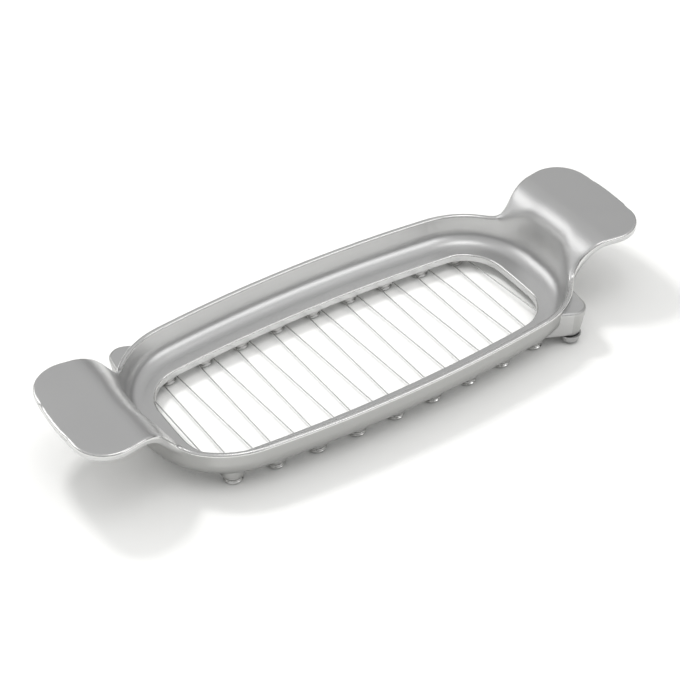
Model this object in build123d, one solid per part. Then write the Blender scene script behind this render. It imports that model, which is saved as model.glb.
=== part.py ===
from build123d import *

import os
from math import asin, atan2, cos, degrees, radians, sin, sqrt, tan

# Wire slicer for a block of soft food. A cast dish with a turned-up handle plate at each end
# has a large opening in its floor. Grooved studs, pressed into the underside along both long
# sides of the opening, are its feet, and one taut wire zigzags across the opening from stud
# to stud. Each end of the wire is held under a washer and a screw, below a lug of the dish.
#
# Millimetres. X runs along the dish, Y across it ("near" is -Y, "far" is +Y), Z up.
# Z = 0 is the table, and the origin is under the middle of the dish.

# Lengths and widths in plan
BODY_LENGTH = 184.8
BODY_WIDTH = 86.0
SIDE_RADIUS = 526.0
END_RADIUS = 150.0
CORNER_RADIUS = 34.9
HANDLE_REACH = 30.1
NECK_WIDTH = 47.6
NECK_RADIUS = 4.9
HANDLE_FLARE = 10.0
HANDLE_CORNER_RADIUS = 13.3
HANDLE_END_RADIUS = 121.0

# Heights
BASE_HEIGHT = 4.2
FLOOR_THICKNESS = 3.0
RIM_HEIGHT = 18.6
PLATE_HEIGHT = 31.8
PLATE_THICKNESS = 3.0

# Section of the dish and of the bend up to a handle
WALL_THICKNESS = 2.0
INNER_DRAFT = 8.0
OUTER_DRAFT = 4.0
COVE_RADIUS = 6.3
HEEL_RADIUS = 9.8
BEND_SET_IN = 6.8
BEND_SLOPE = 53.9
LOWER_BEND_RADIUS = 6.6
UPPER_BEND_RADIUS = 13.1
MOUTH_ABOVE_RIM = 2.2
MOUTH_SET_IN = 0.03
EDGE_ROUND = 0.85

# Opening in the floor
END_LEDGE = 15.1
SIDE_LEDGE = 14.3
OPENING_SIDE_RADIUS = 608.0
OPENING_END_RADIUS = 300.0
OPENING_CORNER_RADIUS = 16.7
OPENING_LIP = 0.7

# Studs: the heads are the feet, and the wire lies in the grooves
STUDS_PER_SIDE = 9
STUD_STAGGER = 6.0
STUD_END_GAP = 7.9
STUD_FROM_OPENING = 4.4
STUD_DIAMETER = 7.2
STUD_HEAD = 1.3
STUD_HEAD_ROUND = 0.9
GROOVE_WIDTH = 1.1
NECK_DEPTH = 0.6
STUD_COLLAR = 1.3
SHANK_DIAMETER = 4.0
SHANK_LENGTH = 2.4
PAD_DIAMETER = 8.6
PRESS_GAP = 0.01
BORE_END_GAP = 0.1

# Wire
WIRE_DIAMETER = 0.5
WIRE_GAP = 0.02
WIRE_EASE_RUN = 3.0
WIRE_EASE_RADIUS = 60.0
WIRE_TAIL = 2.0

# Lugs and wire clamps, given for the near right corner and turned half round for the far left
LUG_FROM_END = 9.7
LUG_FROM_SIDE = 0.3
LUG_SIDE_TURN = 24.6
LUG_END_TURN = 6.5
LUG_REACH = 22.0
LUG_CORNER_RADIUS = 6.0
LUG_DRAFT = 8.0
LUG_ROUND = 1.0
LUG_BOTTOM = 4.6
LUG_TOP = 16.3
SCREW_FROM_END = 14.9
SCREW_FROM_SIDE = 8.0
SCREW_DIAMETER = 4.0
SCREW_LENGTH = 8.0
SCREW_HEAD_DIAMETER = 7.4
SCREW_HEAD_HEIGHT = 2.5
SCREW_HEAD_ROUND = 0.8
SCREW_TIP = 0.5
HEX_KEY = 2.5
HEX_DEPTH = 1.4
SCREW_GAP = 0.05
WASHER_DIAMETER = 8.4
WASHER_BORE = 4.3
WASHER_THICKNESS = 0.7
WASHER_EDGE = 0.15

# Worked out
LENGTH = BODY_LENGTH + 2 * HANDLE_REACH
BEND_START = BODY_LENGTH / 2 - BEND_SET_IN
OPENING_LENGTH = BODY_LENGTH - 2 * END_LEDGE
OPENING_WIDTH = BODY_WIDTH - 2 * SIDE_LEDGE
STUD_ROW = OPENING_LENGTH - STUD_STAGGER - 2 * STUD_END_GAP
STUD_PITCH = STUD_ROW / (STUDS_PER_SIDE - 1)
LUG_CORNER = (BODY_LENGTH / 2 - LUG_FROM_END, LUG_FROM_SIDE - BODY_WIDTH / 2)
SCREW_PLACE = (BODY_LENGTH / 2 - SCREW_FROM_END, SCREW_FROM_SIDE - BODY_WIDTH / 2)
LEDGE_HEIGHT = BASE_HEIGHT + FLOOR_THICKNESS
MOUTH_RADIUS = PLATE_HEIGHT - RIM_HEIGHT - MOUTH_ABOVE_RIM
BODY_PLAN = (BODY_LENGTH / 2, BODY_WIDTH / 2, SIDE_RADIUS, END_RADIUS, CORNER_RADIUS)
OPENING_PLAN = (
    OPENING_LENGTH / 2,
    OPENING_WIDTH / 2,
    OPENING_SIDE_RADIUS,
    OPENING_END_RADIUS,
    OPENING_CORNER_RADIUS,
)
WIRE_RADIUS = WIRE_DIAMETER / 2
WIRE_HEIGHT = STUD_HEAD + GROOVE_WIDTH / 2
STUD_TOP = STUD_HEAD + GROOVE_WIDTH + STUD_COLLAR
GROOVE_RADIUS = STUD_DIAMETER / 2 - NECK_DEPTH
WRAP_RADIUS = GROOVE_RADIUS + WIRE_RADIUS + WIRE_GAP
CLAMP_HEIGHT = LUG_BOTTOM - WIRE_RADIUS - WIRE_GAP
WASHER_TOP = CLAMP_HEIGHT - WIRE_RADIUS - WIRE_GAP
SCREW_WRAP_RADIUS = SCREW_DIAMETER / 2 + WIRE_RADIUS + WIRE_GAP
FAR_BEYOND = 2 * LENGTH
UPWARD = 0.3
QUARTER_TURN = 90
HALF_TURN = 180
FULL_TURN = 360
STANDING = (Align.CENTER, Align.CENTER, Align.MIN)


def arc(centre, start, end):
    """Arc about a centre, the short way round."""
    radius = (start - centre).length
    middle = centre + ((start + end) * 0.5 - centre).normalized() * radius
    return ThreePointArc(start, middle, end)


def upward_face(edges):
    """Flat face inside a closed run of edges, facing up."""
    face = Face(Wire(edges))
    return face if face.normal_at().Z > 0 else -face


def circles_meet(first, first_radius, second, second_radius):
    """Where two circles cross, on the left when looking from the first to the second."""
    gap = second - first
    along = (gap.length**2 + first_radius**2 - second_radius**2) / (2 * gap.length)
    across = sqrt(first_radius**2 - along**2)
    ahead = gap.normalized()
    return first + ahead * along + Vector(-ahead.Y, ahead.X) * across


def barrel_centres(plan):
    """Centres of the side, end and corner arcs of a barrel outline."""
    half_length, half_width, side_radius, end_radius, corner_radius = plan
    side = Vector(0, half_width - side_radius)
    end = Vector(half_length - end_radius, 0)
    corner = circles_meet(end, end_radius - corner_radius, side, side_radius - corner_radius)
    return side, end, corner


def barrel(plan, grow=0.0):
    """Barrel outline of eight tangent arcs, grown outwards by a set distance."""
    side, end, corner = barrel_centres(plan)
    radius = plan[-1] + grow
    on_side = corner + (corner - side).normalized() * radius
    on_end = corner + (corner - end).normalized() * radius
    return four_way_face([(side, on_side), (corner, on_end)], end)


def four_way_face(quarter, end):
    """Face whose outline is one quarter's run of arcs and lines, mirrored both ways.

    A run starts where the far side crosses the middle. Each step is (centre, last point), and
    a step with no centre is a straight line. The arc about `end` closes the run on the X axis.
    """
    first_centre, point = quarter[0]
    edges = [arc(first_centre, Vector(-point.X, point.Y), point)]
    sides = []
    for centre, last in quarter[1:]:
        sides.append(arc(centre, point, last) if centre else Line(point, last))
        point = last
    sides += [edge.mirror(Plane.XZ) for edge in sides]
    sides.append(arc(end, point, Vector(point.X, -point.Y)))
    edges += [edges[0].mirror(Plane.XZ)] + sides + [edge.mirror(Plane.YZ) for edge in sides]
    return upward_face(edges)


def body_and_handles():
    """Whole outline at the height of the plates: dish, necks and handle plates."""
    grow = outer_shift(PLATE_HEIGHT - RIM_HEIGHT)
    side, body_end, corner = barrel_centres(BODY_PLAN)
    radius = CORNER_RADIUS + grow
    neck_y = NECK_WIDTH / 2 + NECK_RADIUS
    neck_x = corner.X + sqrt((radius + NECK_RADIUS) ** 2 - (neck_y - corner.Y) ** 2)
    neck = Vector(neck_x, neck_y)
    ahead = Vector(cos(radians(HANDLE_FLARE)), sin(radians(HANDLE_FLARE)))
    inward = Vector(ahead.Y, -ahead.X)
    end = Vector(LENGTH / 2 - HANDLE_END_RADIUS, 0)
    start = neck + inward * (NECK_RADIUS + HANDLE_CORNER_RADIUS)
    back = (start - end).dot(ahead)
    reach = HANDLE_END_RADIUS - HANDLE_CORNER_RADIUS
    run = sqrt(back**2 + reach**2 - (start - end).length ** 2) - back
    tip = start + ahead * run
    quarter = [
        (side, corner + (corner - side).normalized() * radius),
        (corner, corner + (neck - corner).normalized() * radius),
        (neck, neck + inward * NECK_RADIUS),
        (None, tip - inward * HANDLE_CORNER_RADIUS),
        (tip, tip + (tip - end).normalized() * HANDLE_CORNER_RADIUS),
    ]
    return four_way_face(quarter, end)


def outer_shift(height):
    """How far the drafted outside moves outwards over a height."""
    return height * tan(radians(OUTER_DRAFT))


def inner_shift(height):
    """How far the drafted inside moves outwards over a height."""
    return height * tan(radians(INNER_DRAFT))


def below_top_line(drop=0.0):
    """All that lies below the rim and the handles' bends, lowered square to them."""
    turn = tan(radians(BEND_SLOPE) / 2)
    low_x = BEND_START + drop * turn
    high_x = low_x + (PLATE_HEIGHT - RIM_HEIGHT) / tan(radians(BEND_SLOPE))
    rim = RIM_HEIGHT - drop
    plate = PLATE_HEIGHT - drop
    outline = FilletPolyline(
        (FAR_BEYOND, -FAR_BEYOND),
        (FAR_BEYOND, plate),
        (high_x, plate),
        (low_x, rim),
        (-low_x, rim),
        (-high_x, plate),
        (-FAR_BEYOND, plate),
        (-FAR_BEYOND, -FAR_BEYOND),
        radius=[
            0,
            0,
            UPPER_BEND_RADIUS - drop,
            LOWER_BEND_RADIUS + drop,
            LOWER_BEND_RADIUS + drop,
            UPPER_BEND_RADIUS - drop,
            0,
            0,
        ],
        close=True,
    )
    return extrude(Plane.XZ * Face(Wire(outline.edges())), BODY_WIDTH, both=True)


def drafted_block(outline):
    """Block below the plates' height, drafted inwards on its way down to the base."""
    return extrude(Pos(Z=PLATE_HEIGHT) * outline, BASE_HEIGHT - PLATE_HEIGHT, taper=OUTER_DRAFT)


def outline_edges(faces):
    """Edges round a run of faces, without the seams that cross the dish."""
    return faces.edges().filter_by(Axis.Y, reverse=True)


def outer_body():
    """Outside of the dish and both handle strips, filled to the rim."""
    bowl = drafted_block(barrel(BODY_PLAN, outer_shift(PLATE_HEIGHT - RIM_HEIGHT)))
    bowl = fillet(bowl.edges().group_by(Axis.Z)[0], HEEL_RADIUS)
    strips = drafted_block(body_and_handles()) - below_top_line(PLATE_THICKNESS)
    undersides = strips.faces().filter_by(lambda face: face.normal_at().Z < -UPWARD)
    strips = fillet(outline_edges(undersides), EDGE_ROUND)
    body = (bowl + strips) & below_top_line()
    tops = body.faces().filter_by(lambda face: face.normal_at().Z > UPWARD)
    return fillet(outline_edges(tops), EDGE_ROUND)


def hollow(grow=0.0):
    """Drafted prism of the dish's inside, open at the top, on the ledge."""
    floor = barrel(BODY_PLAN, grow - WALL_THICKNESS - inner_shift(RIM_HEIGHT - LEDGE_HEIGHT))
    return extrude(Pos(Z=LEDGE_HEIGHT) * floor, PLATE_HEIGHT, taper=-INNER_DRAFT)


def pocket():
    """Inside of the dish: drafted walls that run into the flat ledge with a cove."""
    cut = hollow()
    return fillet(cut.edges().group_by(Axis.Z)[0], COVE_RADIUS)


def mouth():
    """Rounding that carries each end wall of the dish over into its handle."""
    bottom = RIM_HEIGHT + EDGE_ROUND
    block = Box(2 * LENGTH, 2 * BODY_WIDTH, PLATE_HEIGHT - bottom, align=STANDING)
    block = Pos(Z=bottom) * block
    ring = block - hollow(-MOUTH_SET_IN)
    upper = ring.faces().sort_by(Axis.Z)[-1].inner_wires()[0].edges()
    return block - fillet(upper, MOUTH_RADIUS)


def stud_places(side):
    """Centres of one row of studs, side -1 near or +1 far, along the opening's long arc."""
    row_radius = OPENING_SIDE_RADIUS + STUD_FROM_OPENING
    centre_y = OPENING_WIDTH / 2 - OPENING_SIDE_RADIUS
    first = (side * STUD_STAGGER - STUD_ROW) / 2
    places = []
    for number in range(STUDS_PER_SIDE):
        x = first + number * STUD_PITCH
        places.append(Vector(x, side * (centre_y + sqrt(row_radius**2 - x**2))))
    return places


def stud():
    """Turned stud: flat-footed rounded head, groove for the wire, collar and shank."""
    radius = STUD_DIAMETER / 2
    groove_top = STUD_HEAD + GROOVE_WIDTH
    flank = groove_top + NECK_DEPTH / 2
    profile = Polyline(
        (0, 0),
        (radius, 0),
        (radius, STUD_HEAD - NECK_DEPTH / 2),
        (GROOVE_RADIUS, STUD_HEAD + NECK_DEPTH / 4),
        (GROOVE_RADIUS, groove_top - NECK_DEPTH / 4),
        (radius, flank),
        (radius, STUD_TOP),
        (SHANK_DIAMETER / 2, STUD_TOP),
        (SHANK_DIAMETER / 2, STUD_TOP + SHANK_LENGTH),
        (0, STUD_TOP + SHANK_LENGTH),
        close=True,
    )
    face = make_face(Plane.XZ * profile)
    turned = revolve(face, Axis.Z)
    rim = turned.edges().filter_by(GeomType.CIRCLE).group_by(Axis.Z)[0]
    return fillet(rim, STUD_HEAD_ROUND)


def stud_seat():
    """Cast pad under a stud's collar, to be added, and the blind bore, to be cut."""
    pad = Pos(Z=STUD_TOP) * Cylinder(PAD_DIAMETER / 2, LEDGE_HEIGHT - STUD_TOP, align=STANDING)
    depth = SHANK_LENGTH + BORE_END_GAP
    bore = Pos(Z=STUD_TOP) * Cylinder(SHANK_DIAMETER / 2 + PRESS_GAP, depth, align=STANDING)
    return pad, bore


def lug():
    """Ear at the near right corner that takes the clamp screw, rounded at its free edges."""
    corner = Vector(*LUG_CORNER)
    along_side = Vector(-cos(radians(LUG_SIDE_TURN)), sin(radians(LUG_SIDE_TURN))) * LUG_REACH
    along_end = Vector(sin(radians(LUG_END_TURN)), cos(radians(LUG_END_TURN))) * LUG_REACH
    plan = upward_face(Polyline(corner, corner + along_end, corner + along_side, close=True).edges())
    plan = fillet(plan.vertices().sort_by_distance(corner)[0], LUG_CORNER_RADIUS)
    block = extrude(Pos(Z=LUG_TOP) * plan, LUG_BOTTOM - LUG_TOP, taper=LUG_DRAFT)
    free = block.faces().sort_by(Axis.Z)[-1].edges().sort_by(SortBy.LENGTH)[:-1]
    return fillet(free, LUG_ROUND)


def screw_bore():
    """Blind bore for the clamp screw, up into the lug."""
    depth = SCREW_LENGTH + BORE_END_GAP
    bore = Cylinder(SCREW_DIAMETER / 2 + SCREW_GAP, depth, align=STANDING)
    return Pos(*SCREW_PLACE, LUG_BOTTOM) * bore


def frame():
    """Cast dish with its handles, lugs, stud pads and bores."""
    pad, bore = stud_seat()
    places = stud_places(-1) + stud_places(1)
    solid = outer_body() + lug() + lug().rotate(Axis.Z, HALF_TURN)
    solid = solid + [Pos(place) * pad for place in places]
    inside = pocket()
    dish = solid - inside
    dish = fillet(new_edges(solid, inside, combined=dish), EDGE_ROUND)
    dish = dish - mouth()
    opening = extrude(barrel(OPENING_PLAN), RIM_HEIGHT)
    opened = dish - opening
    lip = new_edges(dish, opening, combined=opened).group_by(Axis.Z)[-1]
    dish = fillet(lip, OPENING_LIP)
    dish = dish - [Pos(place) * bore for place in places]
    return dish - screw_bore() - screw_bore().rotate(Axis.Z, HALF_TURN)


def clamp_screw():
    """Socket-headed screw, head down, with its washer's thickness left under the head."""
    head_top = WASHER_TOP - WASHER_THICKNESS
    head_bottom = head_top - SCREW_HEAD_HEIGHT
    head = Cylinder(SCREW_HEAD_DIAMETER / 2, SCREW_HEAD_HEIGHT, align=STANDING)
    head = fillet(head.edges().group_by(Axis.Z)[0], SCREW_HEAD_ROUND)
    reach = LUG_BOTTOM + SCREW_LENGTH - head_top
    shank = Pos(Z=SCREW_HEAD_HEIGHT) * Cylinder(SCREW_DIAMETER / 2, reach, align=STANDING)
    shank = chamfer(shank.edges().group_by(Axis.Z)[-1], SCREW_TIP)
    socket = extrude(RegularPolygon(HEX_KEY / sqrt(3), 6), HEX_DEPTH)
    return Pos(*SCREW_PLACE, head_bottom) * (head + shank - socket)


def clamp_washer():
    """Flat washer that presses the end of the wire against the lug."""
    ring = Circle(WASHER_DIAMETER / 2) - Circle(WASHER_BORE / 2)
    washer = extrude(ring, WASHER_THICKNESS)
    washer = chamfer(washer.edges().group_by(Axis.Z)[0].sort_by(SortBy.LENGTH)[-1], WASHER_EDGE)
    return Pos(*SCREW_PLACE, WASHER_TOP - WASHER_THICKNESS) * washer


def run_between(start, start_radius, end, end_radius, turn):
    """Where a taut wire leaves one round post and meets the next, on opposite sides of them.

    The wire goes round the first post counter-clockwise for a turn of 1, clockwise for -1.
    """
    gap = end - start
    lean = degrees(asin((start_radius + end_radius) / gap.length))
    ahead = gap.normalized().rotate(Axis.Z, turn * lean)
    side = ahead.rotate(Axis.Z, -QUARTER_TURN * turn)
    return start + side * start_radius, end - side * end_radius


def bend_round(centre, start, end, turn):
    """Arc round a stud from one straight run to the next, the way the wire goes."""
    from_angle = degrees(atan2(start.Y - centre.Y, start.X - centre.X))
    to_angle = degrees(atan2(end.Y - centre.Y, end.X - centre.X))
    sweep_angle = (to_angle - from_angle) * turn % FULL_TURN * turn
    middle = centre + (start - centre).rotate(Axis.Z, sweep_angle / 2)
    lift = Vector(0, 0, WIRE_HEIGHT)
    return ThreePointArc(start + lift, middle + lift, end + lift)


def climbing_run(low, high):
    """Run from a stud's groove up to the lug, eased at both ends so that it has no kink."""
    ahead = Vector(high.X - low.X, high.Y - low.Y).normalized() * WIRE_EASE_RUN
    points = (low, low + ahead, high - ahead, high)
    return FilletPolyline(*points, radius=WIRE_EASE_RADIUS).edges()


def clamp_turn(screw, touch, beyond):
    """Straight tail and half turn of the wire behind a clamp screw, up to where it leaves."""
    lift = Vector(0, 0, CLAMP_HEIGHT)
    away = (beyond - touch).normalized()
    opposite = screw * 2 - touch
    behind = screw - away * SCREW_WRAP_RADIUS
    tail = Line(opposite + away * WIRE_TAIL + lift, opposite + lift)
    return [tail, ThreePointArc(opposite + lift, behind + lift, touch + lift)]


def cutting_wire():
    """One wire from the near right lug, over all studs in turn, to the far left lug."""
    near, far = stud_places(-1), stud_places(1)
    screw = Vector(*SCREW_PLACE)
    posts = [screw]
    for number in reversed(range(STUDS_PER_SIDE)):
        posts += [far[number], near[number]]
    posts.append(-screw)
    radii = [SCREW_WRAP_RADIUS] + [WRAP_RADIUS] * (2 * STUDS_PER_SIDE) + [SCREW_WRAP_RADIUS]
    turns = [-((-1) ** number) for number in range(len(posts))]
    runs = [
        run_between(posts[i], radii[i], posts[i + 1], radii[i + 1], turns[i])
        for i in range(len(posts) - 1)
    ]
    groove, clamp = Vector(0, 0, WIRE_HEIGHT), Vector(0, 0, CLAMP_HEIGHT)
    path = clamp_turn(screw, *runs[0]) + climbing_run(runs[0][1] + groove, runs[0][0] + clamp)
    for number, (start, end) in enumerate(runs[1:-1], 1):
        path.append(bend_round(posts[number], runs[number - 1][1], start, turns[number]))
        path.append(Line(start + groove, end + groove))
    path.append(bend_round(posts[-2], runs[-2][1], runs[-1][0], turns[-2]))
    path += climbing_run(runs[-1][0] + groove, runs[-1][1] + clamp)
    path += clamp_turn(-screw, *reversed(runs[-1]))
    wire = Wire([edge for piece in path for edge in piece.edges()])
    section = Plane(origin=wire @ 0, z_dir=wire % 0) * Circle(WIRE_RADIUS)
    return sweep(section, wire)


def save(name, solid):
    """Write one sub-part."""
    solid.label = name
    export_step(solid, f"parts/{name}.step")


os.makedirs("parts", exist_ok=True)
save("frame", frame())
save("cutting_wire", cutting_wire())
post = stud()
for row, side in (("near", -1), ("far", 1)):
    for number, place in enumerate(stud_places(side), 1):
        save(f"{row}_stud_{number}", Pos(place) * post)
for name, turn in (("near", 0), ("far", HALF_TURN)):
    save(f"{name}_clamp_screw", clamp_screw().rotate(Axis.Z, turn))
    save(f"{name}_clamp_washer", clamp_washer().rotate(Axis.Z, turn))
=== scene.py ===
"""Studio scene of a wire slicer: a cast dish on grooved stud feet, strung with one wire."""

import logging
from dataclasses import dataclass, field
from enum import Enum
from math import asin, cos, radians, sin, sqrt, tan

import bpy
from mathutils import Matrix, Vector

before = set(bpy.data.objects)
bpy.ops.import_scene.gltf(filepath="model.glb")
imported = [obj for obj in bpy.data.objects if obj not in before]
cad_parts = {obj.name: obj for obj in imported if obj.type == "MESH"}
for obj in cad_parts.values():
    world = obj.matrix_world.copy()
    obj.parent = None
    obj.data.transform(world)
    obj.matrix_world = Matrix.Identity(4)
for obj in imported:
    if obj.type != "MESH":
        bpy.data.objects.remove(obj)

LOG = logging.getLogger("wire_slicer")
MM = 0.001
WHITE = (1.0, 1.0, 1.0, 1.0)
ROWS = ("near", "far")
BEVEL_SAMPLES = 8
NOISE_LOW = 0.3
NOISE_HIGH = 0.7

Colour = tuple[float, float, float]
Point = tuple[float, float, float]


class DishSurface(Enum):
    """Material slots of the cast dish."""

    CASTING = 0
    EDGE = 1


class NodeTree:
    """A shader node tree that is filled from a few short calls."""

    def __init__(self, tree: bpy.types.NodeTree) -> None:
        """Start with an empty tree.

        Args:
            tree: The tree of a material or of the world.
        """
        self.tree = tree
        self.tree.nodes.clear()

    def add(self, kind: str, **settings: object) -> bpy.types.Node:
        """Add one node.

        Args:
            kind: Blender's name of the node type.
            settings: Properties of the node, by name.

        Returns:
            The new node.
        """
        node = self.tree.nodes.new(kind)
        for name, value in settings.items():
            setattr(node, name, value)
        return node

    def seen(self) -> bpy.types.NodeSocket:
        """Mark the rays that show a background: seen straight, mirrored or through glass.

        Returns:
            Socket that is 1 for such rays and 0 for the others.
        """
        path = self.add("ShaderNodeLightPath").outputs
        plain = self.math("MAXIMUM", path["Is Camera Ray"], path["Is Glossy Ray"])
        return self.math("MAXIMUM", plain, path["Is Transmission Ray"])

    def join(self, source: bpy.types.NodeSocket, target: bpy.types.NodeSocket) -> None:
        """Link one socket to another.

        Args:
            source: Socket that gives the value.
            target: Socket that takes it.
        """
        self.tree.links.new(source, target)

    def feed(self, value: object, target: bpy.types.NodeSocket) -> None:
        """Link a socket, or set a plain value.

        Args:
            value: A socket of another node, or a number or colour.
            target: The socket that takes it.
        """
        if isinstance(value, bpy.types.NodeSocket):
            self.join(value, target)
        else:
            target.default_value = value

    def math(self, operation: str, first: object, second: object = 0.0) -> bpy.types.NodeSocket:
        """Add a Math node.

        Args:
            operation: Blender's name of the operation.
            first: First number or socket.
            second: Second number or socket.

        Returns:
            The result's socket.
        """
        node = self.add("ShaderNodeMath", operation=operation)
        self.feed(first, node.inputs[0])
        self.feed(second, node.inputs[1])
        return node.outputs[0]

    def remap(self, value: object, low: float, high: float, to_low: float, to_high: float):
        """Map a range of values onto another, and stop at its ends.

        Args:
            value: The socket to map.
            low: Value that gives `to_low`.
            high: Value that gives `to_high`.
            to_low: Result at the low end.
            to_high: Result at the high end.

        Returns:
            The result's socket.
        """
        node = self.add("ShaderNodeMapRange", clamp=True)
        for socket, entry in zip(node.inputs, (value, low, high, to_low, to_high)):
            self.feed(entry, socket)
        return node.outputs["Result"]

    def noise(self, vector: object, scale: float, detail: float = 2.0, rough: float = 0.5):
        """Add a noise texture.

        Args:
            vector: Socket of the coordinates, in metres.
            scale: Cells to a metre.
            detail: Octaves.
            rough: Share of the finer octaves.

        Returns:
            The factor's socket.
        """
        node = self.add("ShaderNodeTexNoise")
        self.feed(vector, node.inputs["Vector"])
        node.inputs["Scale"].default_value = scale
        node.inputs["Detail"].default_value = detail
        node.inputs["Roughness"].default_value = rough
        return node.outputs["Fac"]

    def stretched(self, vector: object, scale: Point) -> bpy.types.NodeSocket:
        """Scale coordinates by axis.

        Args:
            vector: Socket of the coordinates.
            scale: Factor along each axis.

        Returns:
            The scaled coordinates' socket.
        """
        node = self.add("ShaderNodeMapping")
        self.feed(vector, node.inputs["Vector"])
        node.inputs["Scale"].default_value = scale
        return node.outputs["Vector"]

    def bump(self, height: object, distance: float, normal: object = None) -> bpy.types.NodeSocket:
        """Add a bump.

        Args:
            height: Socket of the height, from 0 to 1.
            distance: Height in metres of a full step.
            normal: Socket of a bump to add to, or None.

        Returns:
            The normal's socket.
        """
        node = self.add("ShaderNodeBump")
        node.inputs["Distance"].default_value = distance
        self.feed(height, node.inputs["Height"])
        if normal is not None:
            self.join(normal, node.inputs["Normal"])
        return node.outputs["Normal"]

    def mix(self, factor: object, first: Colour, second: Colour) -> bpy.types.NodeSocket:
        """Blend two colours.

        Args:
            factor: Socket of the share of the second colour.
            first: Colour at 0.
            second: Colour at 1.

        Returns:
            The colour's socket.
        """
        node = self.add("ShaderNodeMix", data_type="RGBA")
        self.feed(factor, node.inputs["Factor"])
        node.inputs["A"].default_value = (*first, 1.0)
        node.inputs["B"].default_value = (*second, 1.0)
        return node.outputs["Result"]


@dataclass(frozen=True)
class SatinCasting:
    """Fine blasted finish of the cast dish, with shade painted into its outside and underside."""

    name: str = "satin_casting"
    dark: Colour = (0.60, 0.60, 0.60)
    light: Colour = (0.66, 0.66, 0.655)
    roughness: float = 0.30
    roughness_spread: float = 0.05
    roughness_ends: tuple[float, float] = (0.3, 1.1)
    cloud_scale: float = 30.0
    cloud_detail: float = 3.0
    grain_scale: float = 2600.0
    grain_detail: float = 3.0
    grain_rough: float = 0.6
    grain_share: float = 0.35
    grain_height: float = 0.012 * MM
    wave_scale: float = 70.0
    wave_detail: float = 1.0
    wave_height: float = 0.05 * MM
    # Painted shade: this tone darkens the outside and underside below the rim, standing in for the
    # shadowed floor they reflect and the shade under the dish.
    painted_outside_shade: Colour = (0.78, 0.78, 0.77)
    outward_full: float = 12.0 * MM
    outside_top: float = 17.0 * MM
    outside_end: float = 27.0 * MM
    under_start: float = -0.1
    under_full: float = -0.6
    ease_least: float = 0.5 * MM
    ease_most: float = 6.0 * MM
    mouth_start: float = 82.0 * MM
    mouth_full: float = 87.0 * MM
    mouth_past: float = 98.0 * MM
    mouth_end: float = 103.0 * MM
    mouth_inside: float = 19.0 * MM
    mouth_side: float = 25.0 * MM

    def material(self) -> bpy.types.Material:
        """Build the finish.

        Returns:
            The material.
        """
        made, nodes, shader = metal(self.name)
        place = nodes.add("ShaderNodeTexCoord").outputs["Object"]
        cloud = nodes.noise(place, self.cloud_scale, self.cloud_detail)
        grain = nodes.noise(place, self.grain_scale, self.grain_detail, self.grain_rough)
        # Painted shade: the colour is multiplied darker on the outside and underside below the
        # rim.
        painted_shade = nodes.add("ShaderNodeMix", data_type="RGBA", blend_type="MULTIPLY")
        nodes.join(self.outside(nodes, place), painted_shade.inputs["Factor"])
        nodes.join(nodes.mix(cloud, self.dark, self.light), painted_shade.inputs["A"])
        painted_shade.inputs["B"].default_value = (*self.painted_outside_shade, 1.0)
        nodes.join(painted_shade.outputs["Result"], shader.inputs["Base Color"])
        uneven = nodes.math("MULTIPLY_ADD", grain, self.grain_share)
        spread = self.roughness_spread
        low, high = self.roughness - spread, self.roughness + spread
        level = nodes.remap(nodes.math("ADD", cloud, uneven), *self.roughness_ends, low, high)
        nodes.join(level, shader.inputs["Roughness"])
        eased = nodes.add("ShaderNodeBevel", samples=BEVEL_SAMPLES)
        nodes.join(self.ease_radius(nodes, place), eased.inputs["Radius"])
        waves = nodes.noise(place, self.wave_scale, self.wave_detail)
        wave = nodes.bump(waves, self.wave_height, eased.outputs["Normal"])
        nodes.join(nodes.bump(grain, self.grain_height, wave), shader.inputs["Normal"])
        return made

    def outside(self, nodes: NodeTree, place: bpy.types.NodeSocket) -> bpy.types.NodeSocket:
        """Mask the outside and underside below the rim, where shade is painted into the dish's
        colour, apart from its satin top side.

        Args:
            nodes: The material's tree.
            place: Socket of the object's coordinates.

        Returns:
            Socket that is 1 on the outside below the rim and 0 elsewhere.
        """
        normal = nodes.add("ShaderNodeNewGeometry").outputs["Normal"]
        plan = nodes.add("ShaderNodeVectorMath", operation="MULTIPLY")
        nodes.join(normal, plan.inputs[0])
        plan.inputs[1].default_value = (1.0, 1.0, 0.0)
        spread = nodes.add("ShaderNodeVectorMath", operation="DOT_PRODUCT")
        nodes.join(plan.outputs["Vector"], spread.inputs[0])
        nodes.join(place, spread.inputs[1])
        outward = nodes.remap(spread.outputs["Value"], 0.0, self.outward_full, 0.0, 1.0)
        facing = nodes.add("ShaderNodeSeparateXYZ")
        nodes.join(normal, facing.inputs["Vector"])
        under = nodes.remap(facing.outputs["Z"], self.under_start, self.under_full, 0.0, 1.0)
        height = nodes.add("ShaderNodeSeparateXYZ")
        nodes.join(place, height.inputs["Vector"])
        low = nodes.remap(height.outputs["Z"], self.outside_top, self.outside_end, 1.0, 0.0)
        return nodes.math("MULTIPLY", nodes.math("MAXIMUM", outward, under), low)

    def ease_radius(self, nodes: NodeTree, place: bpy.types.NodeSocket) -> bpy.types.NodeSocket:
        """Find how widely creases are blended: most in the mouth of each handle.

        Args:
            nodes: The material's tree.
            place: Socket of the object's coordinates.

        Returns:
            Socket of the radius, in metres.
        """
        split = nodes.add("ShaderNodeSeparateXYZ")
        nodes.join(place, split.inputs["Vector"])
        along = nodes.math("ABSOLUTE", split.outputs["X"])
        across = nodes.math("ABSOLUTE", split.outputs["Y"])
        rise = nodes.remap(along, self.mouth_start, self.mouth_full, 0.0, 1.0)
        fall = nodes.remap(along, self.mouth_past, self.mouth_end, 1.0, 0.0)
        inside = nodes.remap(across, self.mouth_inside, self.mouth_side, 1.0, 0.0)
        zone = nodes.math("MULTIPLY", nodes.math("MULTIPLY", rise, fall), inside)
        return nodes.remap(zone, 0.0, 1.0, self.ease_least, self.ease_most)


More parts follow.
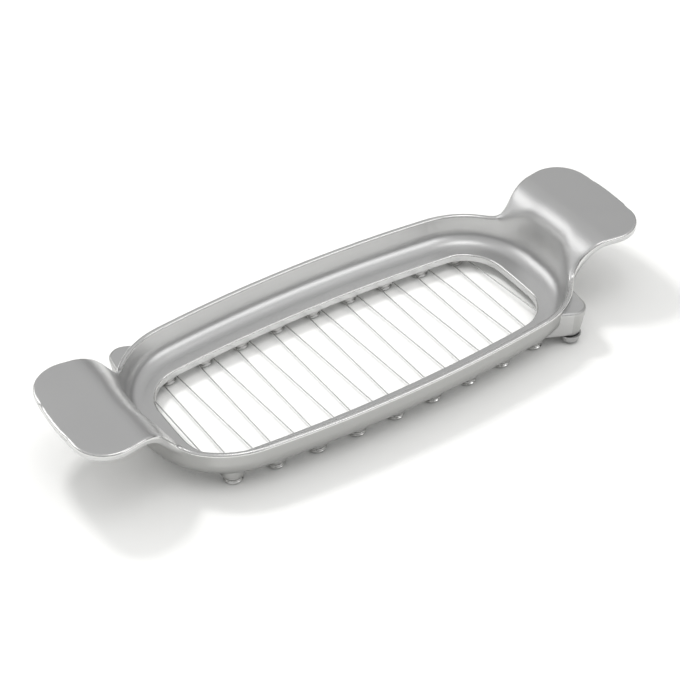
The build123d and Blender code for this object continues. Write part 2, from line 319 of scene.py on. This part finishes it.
@dataclass(frozen=True)
class PolishedEdgeWithHighlight:
    """Smooth finish of the dish's rounded top edges and of the opening's lip: its low roughness is
    a polish, and its tone, lighter than the casting's, paints the bright line along these edges.
    """

    name: str = "polished_edge_highlight"
    # Painted highlight: this tone is lighter than the casting's, so the rounded edges show a
    # bright line.
    tone: Colour = (0.78, 0.78, 0.77)
    darkest: float = 0.93
    roughness: float = 0.19
    smoother: float = 0.03
    rougher: float = 0.05
    grain_scale: float = 900.0
    grain_detail: float = 3.0
    grain_height: float = 0.002 * MM
    ease: float = 1.0 * MM

    def material(self) -> bpy.types.Material:
        """Build the finish.

        Returns:
            The material.
        """
        made, nodes, shader = metal(self.name)
        place = nodes.add("ShaderNodeTexCoord").outputs["Object"]
        grain = nodes.noise(place, self.grain_scale, self.grain_detail)
        darker = tuple(value * self.darkest for value in self.tone)
        nodes.join(nodes.mix(grain, darker, self.tone), shader.inputs["Base Color"])
        low, high = self.roughness - self.smoother, self.roughness + self.rougher
        level = nodes.remap(grain, NOISE_LOW, NOISE_HIGH, low, high)
        nodes.join(level, shader.inputs["Roughness"])
        eased = nodes.add("ShaderNodeBevel", samples=BEVEL_SAMPLES)
        eased.inputs["Radius"].default_value = self.ease
        bumped = nodes.bump(grain, self.grain_height, eased.outputs["Normal"])
        nodes.join(bumped, shader.inputs["Normal"])
        return made


@dataclass(frozen=True)
class TurnedSteel:
    """Bright turned finish of the studs and of the clamps' screws and washers."""

    name: str
    tone: Colour = (0.70, 0.70, 0.69)
    roughness: float = 0.11
    darkest: float = 0.86
    smoother: float = 0.04
    rougher: float = 0.06
    stain_scale: float = 400.0
    stain_detail: float = 3.0
    ring_stretch: Point = (0.02, 0.02, 1.0)
    ring_scale: float = 9000.0
    ring_detail: float = 2.0
    ring_height: float = 0.004 * MM

    def material(self) -> bpy.types.Material:
        """Build the finish.

        Returns:
            The material.
        """
        made, nodes, shader = metal(self.name)
        place = nodes.add("ShaderNodeTexCoord").outputs["Object"]
        along = nodes.stretched(place, self.ring_stretch)
        rings = nodes.noise(along, self.ring_scale, self.ring_detail)
        stain = nodes.noise(place, self.stain_scale, self.stain_detail)
        darker = tuple(value * self.darkest for value in self.tone)
        nodes.join(nodes.mix(stain, darker, self.tone), shader.inputs["Base Color"])
        low, high = self.roughness - self.smoother, self.roughness + self.rougher
        level = nodes.remap(rings, NOISE_LOW, NOISE_HIGH, low, high)
        nodes.join(level, shader.inputs["Roughness"])
        nodes.join(nodes.bump(rings, self.ring_height), shader.inputs["Normal"])
        return made


@dataclass(frozen=True)
class DrawnWire:
    """Drawn finish of the cutting wire, streaked along its runs."""

    name: str = "drawn_wire"
    tone: Colour = (0.66, 0.66, 0.65)
    darkest: float = 0.8
    roughness: float = 0.24
    smoother: float = 0.05
    rougher: float = 0.08
    streak_stretch: Point = (1.0, 0.03, 1.0)
    streak_scale: float = 5000.0
    streak_detail: float = 2.0
    streak_height: float = 0.002 * MM

    def material(self) -> bpy.types.Material:
        """Build the finish.

        Returns:
            The material.
        """
        made, nodes, shader = metal(self.name)
        place = nodes.add("ShaderNodeTexCoord").outputs["Object"]
        along = nodes.stretched(place, self.streak_stretch)
        streaks = nodes.noise(along, self.streak_scale, self.streak_detail)
        darker = tuple(value * self.darkest for value in self.tone)
        nodes.join(nodes.mix(streaks, darker, self.tone), shader.inputs["Base Color"])
        low, high = self.roughness - self.smoother, self.roughness + self.rougher
        level = nodes.remap(streaks, NOISE_LOW, NOISE_HIGH, low, high)
        nodes.join(level, shader.inputs["Roughness"])
        nodes.join(nodes.bump(streaks, self.streak_height), shader.inputs["Normal"])
        return made


def metal(name: str) -> tuple[bpy.types.Material, NodeTree, bpy.types.Node]:
    """Start a bare metal material.

    Args:
        name: Name of the material.

    Returns:
        The material, its tree and its shader node.
    """
    made = bpy.data.materials.new(name)
    made.use_nodes = True
    nodes = NodeTree(made.node_tree)
    shader = nodes.add("ShaderNodeBsdfPrincipled")
    shader.inputs["Metallic"].default_value = 1.0
    output = nodes.add("ShaderNodeOutputMaterial")
    nodes.join(shader.outputs["BSDF"], output.inputs["Surface"])
    return made, nodes, shader


@dataclass
class Dressing:
    """A run of CAD nodes that share one finish."""

    title: str
    nodes: list[str]
    finish: SatinCasting | TurnedSteel | DrawnWire
    made: bpy.types.Material | None = field(default=None, init=False)

    def dress(self) -> None:
        """Give every node of the run its finish."""
        self.made = self.finish.material()
        for name in self.nodes:
            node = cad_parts[name]
            node.data.materials.clear()
            node.data.materials.append(self.made)
        LOG.info("%s: %d pieces in %s", self.title, len(self.nodes), self.finish.name)


@dataclass(frozen=True)
class TopLine:
    """Line of the dish's top edge in side view: rim, bend up and handle plate."""

    rim: float = 18.6 * MM
    plate: float = 31.8 * MM
    bend_start: float = 85.6 * MM
    slope: float = radians(53.9)
    lower_radius: float = 6.6 * MM
    upper_radius: float = 13.1 * MM

    def at(self, x: float) -> tuple[float, float]:
        """Give the line's height and slope.

        Args:
            x: Place along the dish, in metres.

        Returns:
            The height in metres, and the slope as an angle.
        """
        x = abs(x)
        low_end = self.bend_start - self.lower_radius * tan(self.slope / 2)
        high_x = self.bend_start + (self.plate - self.rim) / tan(self.slope)
        high_end = high_x + self.upper_radius * tan(self.slope / 2)
        if x <= low_end:
            return self.rim, 0.0
        if x >= high_end:
            return self.plate, 0.0
        into, left = (x - low_end) / self.lower_radius, (high_end - x) / self.upper_radius
        if into < sin(self.slope):
            return self.rim + self.lower_radius * (1.0 - sqrt(1.0 - into * into)), asin(into)
        if left < sin(self.slope):
            return self.plate - self.upper_radius * (1.0 - sqrt(1.0 - left * left)), asin(left)
        return self.rim + (x - self.bend_start) * tan(self.slope), self.slope


@dataclass
class CastDish(Dressing):
    """Cast dish with its handle plates, lugs and stud pads."""

    title: str = "cast dish"
    nodes: list[str] = field(default_factory=lambda: ["frame"])
    finish: SatinCasting = field(default_factory=SatinCasting)
    edge_finish_and_highlight: PolishedEdgeWithHighlight = field(default_factory=PolishedEdgeWithHighlight)
    top_line: TopLine = field(default_factory=TopLine)
    edge_round: float = 0.85 * MM
    ledge_height: float = 7.2 * MM
    lip_round: float = 0.7 * MM
    opening_half_length: float = 78.5 * MM
    opening_half_width: float = 29.6 * MM
    mouth_half_width: float = 22.5 * MM
    mouth_reach: float = 118.0 * MM
    flat: float = 0.985
    overhung: float = -0.2
    upright: float = 0.02

    def dress(self) -> None:
        """Give the dish its finish, and its rounded edges the polished one, whose lighter tone
        paints their highlight.
        """
        super().dress()
        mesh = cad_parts[self.nodes[0]].data
        mesh.materials.append(self.edge_finish_and_highlight.material())
        count = 0
        for face in mesh.polygons:
            rounded = self.is_top_edge(face) or self.is_lip(face)
            surface = DishSurface.EDGE if rounded else DishSurface.CASTING
            face.material_index = surface.value
            count += rounded
        LOG.info("%s: %d faces in %s", self.title, count, self.edge_finish_and_highlight.name)

    def is_top_edge(self, face: bpy.types.MeshPolygon) -> bool:
        """Tell whether a face lies in the rounding of the rim or of a handle's edge.

        Args:
            face: Face of the dish's mesh.

        Returns:
            True where the face belongs to such a rounding.
        """
        x, y, z = face.center
        if self.top_line.bend_start < abs(x) < self.mouth_reach and abs(y) < self.mouth_half_width:
            return False
        height, slope = self.top_line.at(x)
        if (height - z) * cos(slope) > self.edge_round:
            return False
        outward = Vector((-sin(slope) if x > 0 else sin(slope), 0.0, cos(slope)))
        return self.overhung < face.normal.dot(outward) < self.flat

    def is_lip(self, face: bpy.types.MeshPolygon) -> bool:
        """Tell whether a face lies in the rounding round the opening.

        Args:
            face: Face of the dish's mesh.

        Returns:
            True where the face belongs to that rounding.
        """
        x, y, z = face.center
        inside = abs(x) < self.opening_half_length and abs(y) < self.opening_half_width
        below = self.ledge_height - z
        rounded = self.upright < face.normal.z < self.flat
        return inside and 0.0 < below < self.lip_round and rounded


@dataclass
class StudRows(Dressing):
    """Two rows of grooved studs that are the feet."""

    title: str = "studs"
    per_side: int = 9
    nodes: list[str] = field(default_factory=list)
    finish: TurnedSteel = field(default_factory=lambda: TurnedSteel("turned_stud"))

    def __post_init__(self) -> None:
        """Name the studs of both rows."""
        for row in ROWS:
            self.nodes += [f"{row}_stud_{number + 1}" for number in range(self.per_side)]


@dataclass
class CuttingWire(Dressing):
    """Taut wire that zigzags between the studs."""

    title: str = "cutting wire"
    nodes: list[str] = field(default_factory=lambda: ["cutting_wire"])
    finish: DrawnWire = field(default_factory=DrawnWire)


@dataclass
class WireClamps(Dressing):
    """Screw and washer at each end of the wire."""

    title: str = "wire clamps"
    nodes: list[str] = field(default_factory=list)
    finish: TurnedSteel = field(
        default_factory=lambda: TurnedSteel("clamp_steel", (0.52, 0.52, 0.52), 0.24)
    )

    def __post_init__(self) -> None:
        """Name the pieces of both clamps."""
        for row in ROWS:
            self.nodes += [f"{row}_clamp_screw", f"{row}_clamp_washer"]


@dataclass(frozen=True)
class StudioCamera:
    """Camera above the left end of the near side."""

    place: Point = (-0.2857, -0.43162, 0.44767)
    azimuth: float = -33.03
    elevation: float = 40.14
    roll: float = -0.38
    lens: float = 95.42
    sensor: float = 36.0

    def build(self) -> bpy.types.Object:
        """Add the camera and make it the scene's.

        Returns:
            The camera's object.
        """
        turn, rise, tilt = radians(self.azimuth), radians(self.elevation), radians(self.roll)
        back = Vector((sin(turn) * cos(rise), -cos(turn) * cos(rise), sin(rise)))
        level = Vector((cos(turn), sin(turn), 0.0))
        upward = back.cross(level)
        right = level * cos(tilt) + upward * sin(tilt)
        above = upward * cos(tilt) - level * sin(tilt)
        data = bpy.data.cameras.new("studio_camera")
        data.lens = self.lens
        data.sensor_width = self.sensor
        camera = bpy.data.objects.new("studio_camera", data)
        bpy.context.scene.collection.objects.link(camera)
        axes = Matrix((right, above, back)).transposed().to_4x4()
        camera.matrix_world = Matrix.Translation(self.place) @ axes
        bpy.context.scene.camera = camera
        return camera


@dataclass(frozen=True)
class SoftBox:
    """Rectangular studio lamp aimed at a point."""

    name: str
    place: Point
    power: float
    width: float
    height: float
    aim: Point = (0.0, 0.0, 0.01)
    mirrored: bool = True

    def build(self) -> bpy.types.Object:
        """Add the lamp.

        Returns:
            The lamp's object.
        """
        data = bpy.data.lights.new(self.name, "AREA")
        data.shape = "RECTANGLE"
        data.size = self.width
        data.size_y = self.height
        data.energy = self.power
        lamp = bpy.data.objects.new(self.name, data)
        bpy.context.scene.collection.objects.link(lamp)
        away = Vector(self.place) - Vector(self.aim)
        lamp.rotation_euler = away.to_track_quat("Z", "Y").to_euler()
        lamp.location = self.place
        lamp.visible_glossy = self.mirrored
        return lamp


@dataclass(frozen=True)
class Dome:
    """World light: a white skyline, a dim band above it and an even grey on top.

    What is below the horizon repeats what is above it. The skyline shows in the picture, in
    reflections and through glass, but sheds no light on matt surfaces.
    """

    low: float = 0.12
    high: float = 0.63
    low_rise: float = 0.28
    high_rise: float = 0.50
    skyline: float = 0.12
    skyline_end: float = 0.16

    def build(self) -> None:
        """Make the world."""
        world = bpy.data.worlds.new("studio_dome")
        bpy.context.scene.world = world
        world.use_nodes = True
        nodes = NodeTree(world.node_tree)
        ahead = nodes.add("ShaderNodeTexCoord").outputs["Generated"]
        split = nodes.add("ShaderNodeSeparateXYZ")
        nodes.join(ahead, split.inputs["Vector"])
        ramp = nodes.add("ShaderNodeValToRGB")
        height = nodes.math("ABSOLUTE", split.outputs["Z"])
        nodes.join(height, ramp.inputs["Fac"])
        stops = ramp.color_ramp
        stops.interpolation = "EASE"
        stops.elements[0].position = self.low_rise
        stops.elements[0].color = (self.low,) * 3 + (1.0,)
        stops.elements[1].position = self.high_rise
        stops.elements[1].color = (self.high,) * 3 + (1.0,)
        near_horizon = nodes.remap(height, self.skyline, self.skyline_end, 1.0, 0.0)
        backdrop = nodes.add("ShaderNodeMix", data_type="RGBA")
        share = nodes.math("MULTIPLY", nodes.seen(), near_horizon)
        nodes.join(share, backdrop.inputs["Factor"])
        nodes.join(ramp.outputs["Color"], backdrop.inputs["A"])
        backdrop.inputs["B"].default_value = WHITE
        light = nodes.add("ShaderNodeBackground")
        nodes.join(backdrop.outputs["Result"], light.inputs["Color"])
        output = nodes.add("ShaderNodeOutputWorld")
        nodes.join(light.outputs["Background"], output.inputs["Surface"])


@dataclass(frozen=True)
class StudioFloor:
    """Wide pale floor that keeps the shadow, with extra contact shade painted into its colour
    close under the part.
    """

    half_size: float = 6.0
    tone: Colour = (0.90, 0.90, 0.885)
    near_glow: float = 0.04
    far_glow: float = 0.60
    glow_start: float = 0.30
    glow_full: float = 3.0
    # Painted contact shade: the floor's colour is darkened where this occlusion probe meets the
    # part.
    contact_reach: float = 0.008
    contact_open: float = 0.5
    contact_share: float = 0.25
    contact_samples: int = 8

    def shaded_tone(self, nodes: NodeTree) -> bpy.types.NodeSocket:
        """Paint contact shade into the floor's tone close under the part, from an
        ambient-occlusion factor.

        Args:
            nodes: The floor material's nodes.

        Returns:
            Socket with the floor's colour.
        """
        gap = nodes.add("ShaderNodeAmbientOcclusion", samples=self.contact_samples)
        gap.inputs["Distance"].default_value = self.contact_reach
        ends = (0.0, self.contact_open, self.contact_share, 1.0)
        level = nodes.remap(gap.outputs["AO"], *ends)
        painted_shade = nodes.add("ShaderNodeVectorMath", operation="SCALE")
        painted_shade.inputs[0].default_value = self.tone
        nodes.join(level, painted_shade.inputs["Scale"])
        return painted_shade.outputs["Vector"]

    def build(self) -> bpy.types.Object:
        """Add the floor.

        Returns:
            The floor's object.
        """
        bpy.ops.object.select_all(action="DESELECT")
        bpy.ops.mesh.primitive_plane_add(size=2 * self.half_size, location=(0.0, 0.0, 0.0))
        floor = bpy.context.object
        floor.name = "studio_floor"
        made = bpy.data.materials.new("pale_floor")
        made.use_nodes = True
        nodes = NodeTree(made.node_tree)
        matt = nodes.add("ShaderNodeBsdfDiffuse")
        # Painted shade: the floor's colour is darker close under the part.
        nodes.join(self.shaded_tone(nodes), matt.inputs["Color"])
        glow = nodes.add("ShaderNodeEmission")
        place = nodes.add("ShaderNodeTexCoord").outputs["Object"]
        away = nodes.add("ShaderNodeVectorMath", operation="LENGTH")
        nodes.join(place, away.inputs[0])
        ends = (self.glow_start, self.glow_full, self.near_glow, self.far_glow)
        level = nodes.remap(away.outputs["Value"], *ends)
        nodes.join(nodes.math("MULTIPLY", nodes.seen(), level), glow.inputs["Strength"])
        both = nodes.add("ShaderNodeAddShader")
        nodes.join(matt.outputs["BSDF"], both.inputs[0])
        nodes.join(glow.outputs["Emission"], both.inputs[1])
        output = nodes.add("ShaderNodeOutputMaterial")
        nodes.join(both.outputs["Shader"], output.inputs["Surface"])
        floor.data.materials.append(made)
        return floor


def light_studio() -> None:
    """Set the lamps, the dome and the floor."""
    lamps = [
        SoftBox("key_box", (-0.12, 0.40, 0.64), 2.0, 0.13, 0.13, mirrored=False),
        SoftBox("back_box", (-0.62, 0.88, 0.74), 2.6, 1.0, 0.7),
        SoftBox("front_box", (0.45, -0.70, 0.68), 1.15, 0.7, 0.4),
        SoftBox("top_box", (0.05, -0.15, 1.1), 1.0, 0.5, 0.4),
        SoftBox("fill_box", (0.0, 0.0, 1.4), 5.5, 1.6, 1.6, mirrored=False),
    ]
    for lamp in lamps:
        lamp.build()
        LOG.info("lamp %s", lamp.name)
    Dome().build()
    StudioFloor().build()


def main() -> None:
    """Build the studio and dress every piece."""
    logging.basicConfig(level=logging.INFO)
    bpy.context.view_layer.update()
    bpy.context.scene.view_settings.view_transform = "Standard"
    StudioCamera().build()
    light_studio()
    for part in (CastDish(), StudRows(), CuttingWire(), WireClamps()):
        part.dress()


if __name__ == "__main__":
    main()
